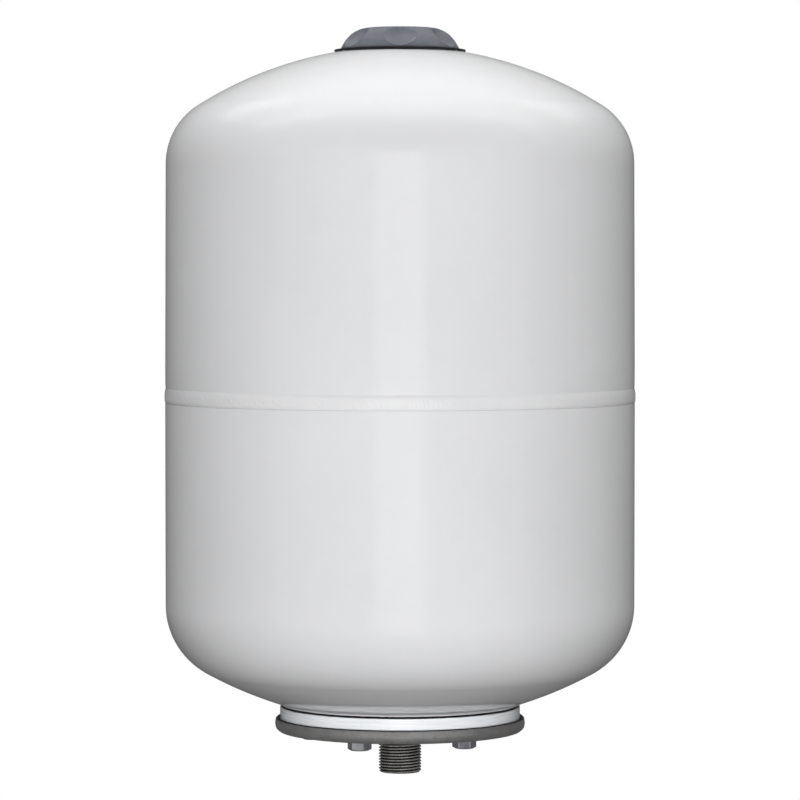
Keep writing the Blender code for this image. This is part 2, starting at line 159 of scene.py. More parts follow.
# -------------------------------------------------------------------- meshes
def at_azimuth(radius, degrees, z):
    a = math.radians(degrees)
    return Vector((radius * math.sin(a), -radius * math.cos(a), z))


def make(name, verts, faces, mat, sharp=32.0, merge=1e-7, weighted=False):
    """Millimetre vertices and faces become a linked, shaded object."""
    mesh = bpy.data.meshes.new(name)
    mesh.from_pydata([tuple(v) for v in np.asarray(verts, float) * MM], [],
                     [tuple(f) for f in faces])
    bm = bmesh.new()
    bm.from_mesh(mesh)
    if merge:
        bmesh.ops.remove_doubles(bm, verts=bm.verts, dist=merge)
        bmesh.ops.dissolve_degenerate(bm, edges=bm.edges, dist=merge)
    bmesh.ops.recalc_face_normals(bm, faces=bm.faces)
    bm.to_mesh(mesh)
    bm.free()
    mesh.shade_smooth()
    mesh.set_sharp_from_angle(angle=math.radians(sharp))
    obj = bpy.data.objects.new(name, mesh)
    bpy.context.scene.collection.objects.link(obj)
    if mat is not None:
        mesh.materials.append(mat)
    if weighted:
        mod = obj.modifiers.new("even_shading", 'WEIGHTED_NORMAL')
        mod.keep_sharp = True
    return obj


def turned_data(outline, cols, closed=True, shift=None):
    """Vertices and faces of an outline spun round Z. shift(index, angle)
    gives (dr, dz) for each point, for beads that aren't evenly round."""
    r = np.array([p[0] for p in outline])
    z = np.array([p[1] for p in outline])
    n = len(outline)
    ang = np.arange(cols) * 2 * math.pi / cols
    rr = np.repeat(r[:, None], cols, 1)
    zz = np.repeat(z[:, None], cols, 1)
    if shift is not None:
        dr, dz = shift(ang)
        rr, zz = rr + dr, zz + dz
    verts = np.stack([rr * np.sin(ang)[None, :], -rr * np.cos(ang)[None, :],
                      zz], -1).reshape(-1, 3)
    faces = []
    for i in range(n if closed else n - 1):
        k = (i + 1) % n
        if r[i] < 1e-9 and r[k] < 1e-9:
            continue
        for j in range(cols):
            m = (j + 1) % cols
            if r[i] < 1e-9:
                faces.append((i * cols, k * cols + m, k * cols + j))
            elif r[k] < 1e-9:
                faces.append((i * cols + j, i * cols + m, k * cols))
            else:
                faces.append((i * cols + j, i * cols + m, k * cols + m,
                              k * cols + j))
    return verts, faces


def turned(name, outline, cols, mat, **kw):
    v, f = turned_data(outline, cols)
    return make(name, v, f, mat, **kw)


def thread_data(major, minor, pitch, z0, z1, cols, per, r0, r1,
                chamfer=1.0, fade=1.0, sharpness=0.12):
    """A right-hand screw thread as one sheet whose rows follow the helix. It
    ends in a round edge of radius r0 at z0 and of radius r1 at z1."""
    rows = int((z1 - z0) / pitch * per) + 2 * per + 2
    j = np.arange(cols)
    i = np.arange(rows + 1)
    z = z0 - pitch * 1.001 + (i[:, None] / per + j[None, :] / cols) * pitch
    u = (i / per) % 1.0
    tri = 1 - np.abs(2 * u - 1)
    t = np.clip((tri - sharpness) / (1 - 2 * sharpness), 0, 1)
    h = (t * t * (3 - 2 * t)) * 0.45 + t * 0.55
    r = np.repeat((minor + (major - minor) * h)[:, None], cols, 1)
    zc = np.clip(z, z0, z1)
    r = np.minimum(r, r0 + (zc - z0) * (major - r0) / max(chamfer, 1e-6))
    w = np.clip((z1 - zc) / (pitch * fade), 0, 1)
    r = r1 + (r - r1) * w
    r = np.where(z <= z0, r0, r)
    r = np.where(z >= z1, r1, r)
    ang = -math.pi / 2 + j * 2 * math.pi / cols
    verts = np.stack([r * np.cos(ang)[None, :], r * np.sin(ang)[None, :], zc],
                     -1).reshape(-1, 3)
    faces = []
    for a in range(rows):
        for b in range(cols):
            if b < cols - 1:
                q = (a * cols + b, a * cols + b + 1, (a + 1) * cols + b + 1,
                     (a + 1) * cols + b)
            else:
                lo, hi = min(a + per, rows), min(a + 1 + per, rows)
                q = (a * cols + b, lo * cols, hi * cols, (a + 1) * cols + b)
            pts = verts[list(q)]
            if pts[:, 2].max() - pts[:, 2].min() < 1e-9:
                continue
            faces.append(q)
    return verts, faces


def joined(*parts):
    verts, faces, base = [], [], 0
    for v, f in parts:
        verts.append(np.asarray(v, float))
        faces += [tuple(k + base for k in q) for q in f]
        base += len(v)
    return np.vstack(verts), faces


def cut(obj, tools, operation='DIFFERENCE'):
    """The boolean of obj with each tool, applied at once."""
    for tool in tools:
        mod = obj.modifiers.new("cut", 'BOOLEAN')
        mod.operation, mod.solver, mod.object = operation, 'EXACT', tool
    bpy.context.view_layer.update()
    graph = bpy.context.evaluated_depsgraph_get()
    mesh = bpy.data.meshes.new_from_object(obj.evaluated_get(graph))
    obj.modifiers.clear()
    obj.data = mesh
    for tool in tools:
        bpy.data.objects.remove(tool, do_unlink=True)
    return obj


def edge_soften(obj, width, angle=30.0, segments=2):
    """Small rounded edges, then shading that follows the large faces."""
    mod = obj.modifiers.new("edges", 'BEVEL')
    mod.width, mod.segments = width * MM, segments
    mod.limit_method, mod.angle_limit = 'ANGLE', math.radians(angle)
    mod.harden_normals = False
    mod.use_clamp_overlap = True
    mod = obj.modifiers.new("even_shading", 'WEIGHTED_NORMAL')
    mod.keep_sharp = True
    return obj


def ripple(ang, across, radius, pitch, lean, seed, rough=0.35):
    """Height from -1 to 1 of the scales of a weld bead: across runs from -1
    to 1 over the bead, and the scales bow along it."""
    rng = np.random.default_rng(seed)
    s = ang[None, :] * radius
    total = 2 * math.pi * radius
    wander = np.zeros_like(ang)
    for k in range(1, 9):
        wander += rng.normal() * np.sin(k * 7 * ang + rng.uniform(0, 6.28)) / k
    count = round(total / pitch)
    a = across[:, None]
    phase = (count * ang[None, :] / (2 * math.pi)
             + (lean * (a * a) * 1.0 + 0.35 * lean * a) + 0.22 * wander[None, :])
    f = phase % 1.0
    scale = np.where(f < 0.72, f / 0.72, (1 - f) / 0.28) * 2 - 1
    uneven = np.zeros((len(across), len(ang)))
    for k in range(10):
        m, n = rng.integers(20, 260), rng.uniform(0.5, 3.2)
        uneven += rng.normal() * np.sin(m * ang[None, :] + n * a * 2
                                        + rng.uniform(0, 6.28))
    uneven /= 3.2
    swell = 0.75 + 0.25 * np.sin(ang * 5 + 1.3)[None, :] * np.sin(
        ang * 13 + 0.4)[None, :]
    return scale * (1 - rough) * swell + uneven * rough


# ----------------------------------------------------------------- materials
def shader(name):
    mat = bpy.data.materials.new(name)
    mat.use_nodes = True
    tree = mat.node_tree
    return mat, tree, tree.nodes["Principled BSDF"]


def node(tree, kind, **settings):
    n = tree.nodes.new(kind)
    for k, v in settings.items():
        if k in n.inputs:
            n.inputs[k].default_value = v
        else:
            setattr(n, k, v)
    return n


def setin(n, **values):
    for k, v in values.items():
        n.inputs[k.replace("_", " ")].default_value = v


def coords(tree, scale=(1, 1, 1)):
    tc = tree.nodes.new("ShaderNodeTexCoord")
    mp = tree.nodes.new("ShaderNodeMapping")
    mp.inputs["Scale"].default_value = scale
    tree.links.new(tc.outputs["Object"], mp.inputs["Vector"])
    return mp.outputs["Vector"]


def noise(tree, vec, scale, detail=3.0, rough=0.55, distortion=0.0):
    n = tree.nodes.new("ShaderNodeTexNoise")
    n.inputs["Scale"].default_value = scale
    n.inputs["Detail"].default_value = detail
    n.inputs["Roughness"].default_value = rough
    n.inputs["Distortion"].default_value = distortion
    tree.links.new(vec, n.inputs["Vector"])
    return n.outputs["Fac"]


def ramp(tree, fac, stops):
    n = tree.nodes.new("ShaderNodeValToRGB")
    el = n.color_ramp.elements
    while len(el) < len(stops):
        el.new(0.5)
    for e, (pos, col) in zip(el, stops):
        e.position = pos
        e.color = (*col, 1.0) if len(col) == 3 else col
    tree.links.new(fac, n.inputs["Fac"])
    return n.outputs["Color"]


def spread(tree, fac, lo, hi, from_lo=0.25, from_hi=0.75):
    n = tree.nodes.new("ShaderNodeMapRange")
    n.inputs["From Min"].default_value = from_lo
    n.inputs["From Max"].default_value = from_hi
    n.inputs["To Min"].default_value = lo
    n.inputs["To Max"].default_value = hi
    tree.links.new(fac, n.inputs["Value"])
    return n.outputs["Result"]


def maths(tree, op, a, b):
    n = tree.nodes.new("ShaderNodeMath")
    n.operation = op
    for i, v in enumerate((a, b)):
        if isinstance(v, (int, float)):
            n.inputs[i].default_value = v
        else:
            tree.links.new(v, n.inputs[i])
    return n.outputs[0]


def bump(tree, height, distance_mm, strength=1.0, normal=None):
    n = tree.nodes.new("ShaderNodeBump")
    n.inputs["Distance"].default_value = distance_mm * MM
    n.inputs["Strength"].default_value = strength
    tree.links.new(height, n.inputs["Height"])
    if normal is not None:
        tree.links.new(normal, n.inputs["Normal"])
    return n.outputs["Normal"]


def mix(tree, fac, a, b):
    n = tree.nodes.new("ShaderNodeMix")
    n.data_type = 'RGBA'
    if isinstance(fac, (int, float)):
        n.inputs["Factor"].default_value = fac
    else:
        tree.links.new(fac, n.inputs["Factor"])
    for i, v in ((6, a), (7, b)):
        if isinstance(v, tuple):
            n.inputs[i].default_value = (*v, 1.0)
        else:
            tree.links.new(v, n.inputs[i])
    return n.outputs[2]


def enamel(name, dark, light, rough, peel=0.0035, streaks=0.0, specks=True):
    """Stoved enamel: nearly even colour, faint orange peel, and the very
    shallow upright waves that drawing leaves in sheet steel."""
    mat, t, b = shader(name)
    v = coords(t)
    cloud = noise(t, v, 9.0, 2.0)
    fine = noise(t, v, 90.0, 3.0)
    both = maths(t, 'ADD', maths(t, 'MULTIPLY', cloud, 0.7),
                 maths(t, 'MULTIPLY', fine, 0.3))
    col = ramp(t, both, [(0.32, dark), (0.68, light)])
    if specks:
        dust = noise(t, v, 2600.0, 1.0, 0.4)
        few = noise(t, v, 60.0, 2.0)
        dots = maths(t, 'MULTIPLY', spread(t, dust, 0, 1, 0.735, 0.76),
                     spread(t, few, 0, 1, 0.5, 0.62))
        col = mix(t, maths(t, 'MULTIPLY', dots, 0.35), col, (0.42, 0.41, 0.39))
    t.links.new(col, b.inputs["Base Color"])
    t.links.new(spread(t, fine, rough * 0.85, rough * 1.2),
                b.inputs["Roughness"])
    skin = noise(t, v, 520.0, 2.0, 0.5)
    n = bump(t, skin, peel)
    if streaks:
        upright = coords(t, (1, 1, 0.06))
        n = bump(t, noise(t, upright, 42.0, 2.0, 0.5), streaks, 1.0, n)
    t.links.new(n, b.inputs["Normal"])
    b.inputs["IOR"].default_value = 1.5
    return mat


def beyond(tree, vec, axis, lo_mm, hi_mm):
    """0 at lo and 1 at hi, read from the radius about Z ("R") or from the
    height ("Z") of the point."""
    sep = tree.nodes.new("ShaderNodeSeparateXYZ")
    tree.links.new(vec, sep.inputs["Vector"])
    if axis == "Z":
        at = sep.outputs["Z"]
    else:
        at = maths(tree, 'SQRT', maths(
            tree, 'ADD', maths(tree, 'MULTIPLY', sep.outputs["X"],
                               sep.outputs["X"]),
            maths(tree, 'MULTIPLY', sep.outputs["Y"], sep.outputs["Y"])), 0.0)
    return spread(tree, at, 0.0, 1.0, lo_mm * MM, hi_mm * MM)


def metal(name, dark, light, rough, rough_spread=0.1, grain=0.02,
          grain_scale=900.0, cloud_scale=70.0, stretch=(1, 1, 1),
          metallic=1.0, blotch=None, blotch_at=(0.6, 0.72), painted_shade=None,
          painted_shade_axis="R", painted_shade_at=(0.0, 1.0)):
    mat, t, b = shader(name)
    v = coords(t)
    vs = coords(t, stretch)
    cloud = noise(t, v, cloud_scale, 4.0, 0.6)
    col = ramp(t, cloud, [(0.35, dark), (0.65, light)])
    if blotch is not None:
        spots = noise(t, v, cloud_scale * 1.9, 5.0, 0.65, 0.6)
        col = mix(t, spread(t, spots, 0, 1, *blotch_at), col, blotch)
    # Painted shade: a dark colour laid by height or by radius that stands in for
    # the shade in a seam or in thread grooves.
    if painted_shade is not None:
        col = mix(t, beyond(t, v, painted_shade_axis, *painted_shade_at), col, painted_shade)
    t.links.new(col, b.inputs["Base Color"])
    b.inputs["Metallic"].default_value = metallic
    lines = noise(t, vs, grain_scale, 3.0, 0.6)
    t.links.new(spread(t, maths(t, 'ADD', maths(t, 'MULTIPLY', lines, 0.5),
                                maths(t, 'MULTIPLY', cloud, 0.5)),
                       max(0.03, rough - rough_spread), rough + rough_spread,
                       0.35, 0.65), b.inputs["Roughness"])
    if grain:
        t.links.new(bump(t, lines, grain), b.inputs["Normal"])
    return mat


def rubber(name, dark, light, rough, grain, scale, spec=0.4):
    mat, t, b = shader(name)
    v = coords(t)
    cloud = noise(t, v, 55.0, 4.0, 0.6)
    t.links.new(ramp(t, cloud, [(0.35, dark), (0.68, light)]),
                b.inputs["Base Color"])
    t.links.new(spread(t, noise(t, v, 240.0, 3.0), rough - 0.08, rough + 0.08),
                b.inputs["Roughness"])
    t.links.new(bump(t, noise(t, v, scale, 2.0, 0.5), grain),
                b.inputs["Normal"])
    b.inputs["Specular IOR Level"].default_value = spec
    return mat


ENAMEL = enamel("body_enamel", (0.735, 0.738, 0.748), (0.765, 0.768, 0.778),
                0.12, streaks=0.010)
WELD_ENAMEL = enamel("weld_enamel", (0.735, 0.738, 0.748),
                     (0.79, 0.79, 0.80), 0.17, peel=0.006)
BARE = metal("bare_weld", (0.16, 0.15, 0.145), (0.34, 0.33, 0.32), 0.48, 0.14,
             0.04, 700.0, 240.0, blotch=(0.20, 0.12, 0.07))
# The dark band along the top of the rim, where it meets the neck ring, is
# painted shade for the seam.
ZINC = metal("zinc_plate", (0.40, 0.40, 0.40), (0.52, 0.515, 0.51), 0.42,
             0.10, 0.012, 1100.0, 60.0, metallic=0.82,
             blotch=(0.36, 0.33, 0.30), blotch_at=(0.50, 0.75),
             painted_shade=(0.030, 0.029, 0.028), painted_shade_axis="Z",
             painted_shade_at=(33.55, 33.85))
BOLT = metal("bolt_zinc", (0.52, 0.53, 0.58), (0.70, 0.71, 0.75), 0.20, 0.08,
             0.010, 1500.0, 160.0)
# The thread roots are painted dark: painted shade in the grooves.
THREAD = metal("connector_steel", (0.60, 0.59, 0.57), (0.84, 0.83, 0.81),
               0.22, 0.08, 0.010, 1400.0, 130.0, metallic=0.85,
               painted_shade=(0.020, 0.019, 0.018), painted_shade_at=(12.75, 12.2))
BRASS = metal("valve_brass", (0.62, 0.44, 0.17), (0.78, 0.60, 0.27), 0.24,
              0.08, 0.008, 1600.0, 190.0)
SPRING = metal("spring_steel", (0.46, 0.46, 0.48), (0.66, 0.66, 0.68), 0.22,
               0.07, 0.004, 2600.0, 500.0)
MEMBRANE = rubber("membrane_rubber", (0.014, 0.014, 0.015),
                  (0.036, 0.036, 0.038), 0.55, 0.05, 900.0)
SEAL = rubber("seal_rubber", (0.008, 0.008, 0.009), (0.018, 0.018, 0.02),
              0.50, 0.02, 1300.0, 0.3)


def ring_enamel():
    """The turned neck ring under its enamel: fine lathe lines run round it.
    Inward of about 73.6 mm of radius it is painted near black, as painted shade
    for the narrow gap under the shell.
    """
    mat, t, b = shader("ring_enamel")
    v = coords(t)
    rings = coords(t, (0.02, 0.02, 1.0))
    lines = noise(t, rings, 2300.0, 3.0, 0.6)
    broad = noise(t, coords(t, (0.05, 0.05, 1.0)), 620.0, 2.0, 0.5)
    cloud = noise(t, v, 28.0, 3.0)
    tone = maths(t, 'ADD', maths(t, 'MULTIPLY', lines, 0.45),
                 maths(t, 'ADD', maths(t, 'MULTIPLY', broad, 0.3),
                       maths(t, 'MULTIPLY', cloud, 0.25)))
    col = ramp(t, tone, [(0.36, (0.80, 0.83, 0.85)),
                         (0.62, (0.90, 0.915, 0.93))])
    # Painted shade: the near-black colour laid inside the gap, where no light
    # reaches.
    scale = ramp(t, cloud, [(0.35, (0.016, 0.015, 0.015)),
                            (0.65, (0.034, 0.032, 0.031))])
    gap_shade = beyond(t, v, "R", 73.75, 73.45)
    t.links.new(mix(t, gap_shade, col, scale), b.inputs["Base Color"])
    t.links.new(spread(t, lines, 0.22, 0.36), b.inputs["Roughness"])
    t.links.new(bump(t, lines, 0.006), b.inputs["Normal"])
    return mat


def cap_plastic():
    """Moulded nylon: spark-eroded grain, with scuffs on the high places."""
    mat, t, b = shader("cap_plastic")
    v = coords(t)
    cloud = noise(t, v, 110.0, 4.0, 0.6)
    flow = noise(t, coords(t, (1, 1, 2.4)), 60.0, 3.0, 0.6, 0.8)
    tone = maths(t, 'ADD', maths(t, 'MULTIPLY', cloud, 0.5),
                 maths(t, 'MULTIPLY', flow, 0.5))
    col = ramp(t, tone, [(0.36, (0.105, 0.113, 0.130)),
                         (0.64, (0.150, 0.158, 0.180))])
    geo = t.nodes.new("ShaderNodeNewGeometry")
    worn = spread(t, geo.outputs["Pointiness"], 0, 1, 0.53, 0.60)
    col = mix(t, maths(t, 'MULTIPLY', worn, 0.45), col, (0.30, 0.31, 0.33))
    t.links.new(col, b.inputs["Base Color"])
    t.links.new(spread(t, cloud, 0.36, 0.52), b.inputs["Roughness"])
    t.links.new(bump(t, noise(t, v, 1900.0, 2.0, 0.6), 0.022),
                b.inputs["Normal"])
    return mat


def fibre():
    mat, t, b = shader("fibre_washer")
    v = coords(t)
    strands = noise(t, coords(t, (1, 1, 6)), 1400.0, 5.0, 0.7, 1.4)
    t.links.new(ramp(t, strands, [(0.3, (0.22, 0.055, 0.03)),
                                  (0.7, (0.46, 0.15, 0.085))]),
                b.inputs["Base Color"])
    b.inputs["Roughness"].default_value = 0.75
    t.links.new(bump(t, strands, 0.05), b.inputs["Normal"])
    return mat


RING_ENAMEL, PLASTIC, FIBRE = ring_enamel(), cap_plastic(), fibre()


# -------------------------------------------------------------------- pieces
def place(obj, body, node_name):
    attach(obj, body)
    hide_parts(node_name)
    return obj


SEGS = 256

def girth_swell(z):
    """Radius of the swelling that the bead makes with the edges it joins."""
    s = np.clip((z - (WELD_Z - WELD_HALF)) / 8.9, 0, 1)
    up = np.clip((s - 0.3) / 0.7, 0, 1)
    down = np.clip((0.3 - s) / 0.3, 0, 1)
    return BODY_R + 0.37 - 0.66 * up ** 3.4 - 0.42 * down ** 2.2


# Upper shell. Its skirt leans in by half a millimetre towards the dome.
outer = [(float(girth_swell(z)), z) for z in np.linspace(
    WELD_Z + WELD_HALF, WELD_Z - WELD_HALF + 8.9, 9)]
outer += [(BODY_R - 0.27, WELD_Z - WELD_HALF + 9.3),
          (BODY_R - 0.10, WELD_Z - WELD_HALF + 11.4)]
outer += [(BODY_R + (UPPER_END_R - BODY_R) * k / 10,
           WELD_Z + WELD_HALF + (TOP_TANGENT_Z - WELD_Z - WELD_HALF) * k / 10)
          for k in range(1, 10)]
outer += top_dome(0.0, 9.6, 36, 64)
outer[-1] = (9.6, outer[-1][1] - 0.02)
inner = [(BODY_R - WALL, WELD_Z + WELD_HALF), (BODY_R - WALL, 290.0)]
inner += top_dome(WALL, 9.5, 14, 20)
place(turned("visual_upper_shell", outer + [(9.3, outer[-1][1] - 0.35),
                                            (9.3, inner[-1][1])]
             + inner[::-1], SEGS, ENAMEL), "vessel", "upper_shell")

# Lower shell, with the joggled lip under the girth weld and the flat land
# that takes the neck ring.
step_z = WELD_Z - WELD_HALF
outer = [(NECK_HOLE_R + 0.3, NECK_LAND_Z), (NECK_LAND_R - 0.35, NECK_LAND_Z),
         (NECK_LAND_R - 0.1, NECK_LAND_Z + 0.08),
         (NECK_LAND_R + 0.02, NECK_LAND_Z + 0.3)]
dome_run = bottom_dome(0.0, NECK_LAND_R + 5.0, 40, 36)[::-1]
for k in range(1, 12):
    t = k / 12
    outer.append((
        NECK_LAND_R + 0.02 + (dome_run[0][0] - NECK_LAND_R - 0.02) * t * t,
        (NECK_LAND_Z + 0.3) * (1 - t) ** 2
        + 2 * (NECK_LAND_Z + 0.95) * t * (1 - t) + dome_run[0][1] * t * t))
outer += dome_run
outer += [(BODY_R - 0.005, 140.0), (BODY_R, 185.0), (BODY_R, step_z - 1.6),
          (BODY_R - 0.03, step_z - 0.8), (BODY_R - 0.12, step_z - 0.15),
          (BODY_R - 0.3, step_z),
          (LIP_R + 0.2, step_z + 0.45), (LIP_R, step_z + 0.8),
          (LIP_R, LIP_TOP_Z - 0.3), (LIP_R - 0.3, LIP_TOP_Z)]
inner = [(NECK_HOLE_R, NECK_LAND_Z + 0.3), (NECK_HOLE_R, NECK_LAND_Z + WALL),
         (NECK_LAND_R - 0.2, NECK_LAND_Z + WALL)]
inner += bottom_dome(WALL, NECK_LAND_R + 1.4, 14, 14)[::-1]
inner += [(BODY_R - WALL, step_z - 1.0), (LIP_R - WALL, step_z - 0.3),
          (LIP_R - WALL, LIP_TOP_Z)]
place(turned("visual_lower_shell", outer + inner[::-1], SEGS, ENAMEL),
      "vessel", "lower_shell")

# Girth weld: a machine-laid bead with its scales, under the enamel.
cols, rows = 2560, 15
across = np.linspace(-1, 1, rows)
w0, w1 = WELD_Z - WELD_HALF + 0.04, WELD_Z + WELD_HALF - 0.01
face_z = (w0 + w1) / 2 + across * (w1 - w0) / 2
crown = (1 - np.abs(across) ** 2.6) ** 0.8
face_r = girth_swell(face_z)
outline = ([(float(a), float(b)) for a, b in zip(face_r, face_z)]
           + [(LIP_R + GAP, w1), (LIP_R + GAP, w0 + 0.75)])


def girth_shift(ang):
    h = ripple(ang, across, BODY_R, 2.55, 0.85, 11)
    rng = np.random.default_rng(5)
    edge = np.zeros_like(ang)
    low = np.zeros_like(ang)
    for k in range(14):
        m = rng.integers(9, 240)
        edge += rng.normal() * np.sin(m * ang + rng.uniform(0, 6.28))
        low += rng.normal() * np.sin(m * ang + rng.uniform(0, 6.28))
    dr = np.zeros((rows + 2, len(ang)))
    dz = np.zeros((rows + 2, len(ang)))
    dr[:rows] = 0.11 * h * (crown[:, None] ** 0.7)
    dr[:rows] = np.minimum(dr[:rows], BODY_R + WELD_PROUD - 0.01
                           - face_r[:, None])
    dz[1:rows - 1] = ((across[1:-1] ** 2)[:, None]
                      * np.where(across[1:-1, None] > 0, edge[None, :],
                                 -low[None, :]) * 0.02)
    return dr, dz


v, f = turned_data(outline, cols, shift=girth_shift)
place(make("visual_girth_weld", v, f, WELD_ENAMEL, sharp=60), "vessel",
      "girth_weld")


# Neck ring and counterflange, each with its bolt holes.
def hole_drills(name, radius, z0, z1):
    bm = bmesh.new()
    for k in range(BOLTS):
        at = at_azimuth(BOLT_PCD_R, BOLT_FIRST_AZ + BOLT_STEP * k,
                        (z0 + z1) / 2)
        bmesh.ops.create_cone(bm, cap_ends=True, segments=40, radius1=radius,
                              radius2=radius, depth=z1 - z0,
                              matrix=Matrix.Translation(at))
    bmesh.ops.scale(bm, verts=bm.verts, vec=(MM, MM, MM))
    mesh = bpy.data.meshes.new(name)
    bm.to_mesh(mesh)
    bm.free()
    obj = bpy.data.objects.new(name, mesh)
    bpy.context.scene.collection.objects.link(obj)
    return obj


ring = turned("visual_neck_ring", rounded([
    (RING_BORE_R, RING_Z0, 0.5), (RING_R, RING_Z0, 0.5),
    (RING_R, RING_Z1, 0.5), (SPIGOT_R, RING_Z1, 0.2),
    (SPIGOT_R, SPIGOT_TOP_Z, 0.5), (RING_BORE_R, SPIGOT_TOP_Z, 0.5)], 5),
    SEGS, RING_ENAMEL, sharp=40)
cut(ring, [hole_drills("tapped", BOLT_HOLE_R, 20.0, TAP_TOP_Z)])
ring.data.set_sharp_from_angle(angle=math.radians(40))
mod = ring.modifiers.new("even_shading", 'WEIGHTED_NORMAL')
mod.keep_sharp = True
place(ring, "vessel", "neck_ring")

flange = turned("visual_counterflange", rounded([
    (FLANGE_HOLE_R, FLANGE_Z0, 0.25), (RIM_R - 2.75, FLANGE_Z0, 2.2),
    (RIM_R - 0.75, FLANGE_Z0 + 1.75, 2.6), (RIM_R, FLANGE_Z0 + 4.3, 6.0),
    (RIM_R - 0.45, RIM_Z1 - 0.75, 1.6), (RIM_R - 1.3, RIM_Z1, 0.5),
    (RIM_IN_R, RIM_Z1, 0.35), (RIM_IN_R, PLATE_Z1 + 0.9, 0.5),
    (RIM_IN_R - 0.9, PLATE_Z1, 0.5), (FLANGE_HOLE_R, PLATE_Z1, 0.25)], 6),
    SEGS, ZINC, sharp=40)
cut(flange, [hole_drills("clearance", BOLT_HOLE_R, 20.0, 45.0)])
flange.data.set_sharp_from_angle(angle=math.radians(40))
mod = flange.modifiers.new("even_shading", 'WEIGHTED_NORMAL')
mod.keep_sharp = True
place(flange, "vessel", "counterflange")


# Hand-laid fillet welds: a bead profile with scales on its open face.
def fillet_weld(name, corner_r, corner_z, leg_r, leg_z, cols, pitch, seed,
                mat, node_name, amp=0.12, down=False):
    rows = 9
    t = np.linspace(0, 1, rows)
    sign = -1.0 if down else 1.0
    fr = corner_r + leg_r * (1 - t) ** 1.15
    fz = corner_z + sign * leg_z * t ** 1.15
    bow = np.sin(math.pi * t) * 0.18 * min(leg_r, leg_z)
    fr, fz = fr + bow * 0.7, fz + sign * bow * 0.7
    outline = [(float(a), float(b)) for a, b in zip(fr, fz)]
    outline += [(corner_r, corner_z)]

    def shift(ang):
        h = ripple(ang, t * 2 - 1, corner_r, pitch, 0.7, seed, 0.3)
        w = np.sin(math.pi * np.clip(t, 0.02, 0.98))[:, None] ** 0.6
        dr = np.zeros((rows + 1, len(ang)))
        dz = np.zeros((rows + 1, len(ang)))
        dr[:rows] = amp * h * w * 0.7
        dz[:rows] = sign * amp * h * w * 0.7
        return dr, dz

    v, f = turned_data(outline, cols, shift=shift)
    return place(make(name, v, f, mat, sharp=60), "vessel", node_name)


fillet_weld("visual_neck_weld", SPIGOT_R + GAP, NECK_LAND_Z + WALL + GAP, 3.3,
            3.1, 960, 2.4, 21, BARE, "neck_weld")
fillet_weld("visual_connector_weld", PORT_R + 0.1, PLATE_Z1 + GAP, 3.3, 2.2,
            320, 2.0, 22, BARE, "connector_weld")
r0 = 14.0 + GAP
fillet_weld("visual_valve_boss_weld", r0, top_dome_z(r0 + 3.0) + GAP + 0.15,
            2.9, 1.15, 320, 1.9, 23, WELD_ENAMEL,
            "valve_boss_weld", 0.07)

# Membrane: a moulded bag with a beaded lip and shallow ribs at its shoulders.
bag_out = [(45.6, 33.0), (45.6, 44.0), (46.4, 52.0), (52.0, 62.0),
           (78.0, 86.0), (92.0, 112.0), (96.8, 150.0), (96.9, 225.0),
           (96.8, 300.0), (91.0, 338.0), (72.0, 366.0), (40.0, 381.0),
           (0.0, 384.8)]
rib_z = (92.0, 104.0, 116.0, 128.0, 318.0, 330.0, 342.0)
bag = []
for r, z in smooth_line(bag_out, 24):
    rib = sum(0.5 * math.exp(-((z - q) / 1.5) ** 2) for q in rib_z)
    bag.append((r - 0.55 + rib if r > 62 else r, z))
bag[-1] = (0.0, 384.8)
inside = [(max(0.0, r - 2.0 if z < 300 else r * 0.979), z - (0.0 if z < 300
           else 2.0 * (z - 300) / 84.8)) for r, z in
          smooth_line(bag_out, 6)]
inside[-1] = (0.0, 382.8)
outline = ([(43.6, 29.9), (43.9, 29.6), (49.7, 29.6), (50.0, 29.9),
            (50.0, 32.0), (49.7, 32.3), (46.4, 32.3), (45.6, 33.0)]
           + bag[1:] + inside[::-1])
v, f = turned_data(outline, 128)
place(make("visual_bladder", v, f, MEMBRANE, sharp=50), "vessel", "bladder")

# Water connector: G 3/4 pipe thread, its plain root under the flange, the
# end inside the flange, and the bore.
PCOLS = 120
sheet = thread_data(PORT_R, PORT_R - 1.16, PORT_PITCH, 0.0, 24.6, PCOLS, 16,
                    12.05, 12.75, chamfer=1.0, fade=1.0)
rest = [(12.75, 24.6), (12.75, 31.6), (12.35, 32.0), (10.9, 32.0),
        (10.5, 31.6), (10.5, 0.5), (10.9, 0.0), (12.05, 0.0)]
ang = -math.pi / 2 + np.arange(PCOLS) * 2 * math.pi / PCOLS
rv = np.array([[r * math.cos(a), r * math.sin(a), z] for r, z in rest
               for a in ang])
rf = [(i * PCOLS + j, i * PCOLS + (j + 1) % PCOLS,
       (i + 1) * PCOLS + (j + 1) % PCOLS, (i + 1) * PCOLS + j)
      for i in range(len(rest) - 1) for j in range(PCOLS)]
v, f = joined(sheet, (rv, rf))
place(make("visual_water_connector", v, f, THREAD, sharp=40, merge=1e-6),
      "vessel", "water_connector")


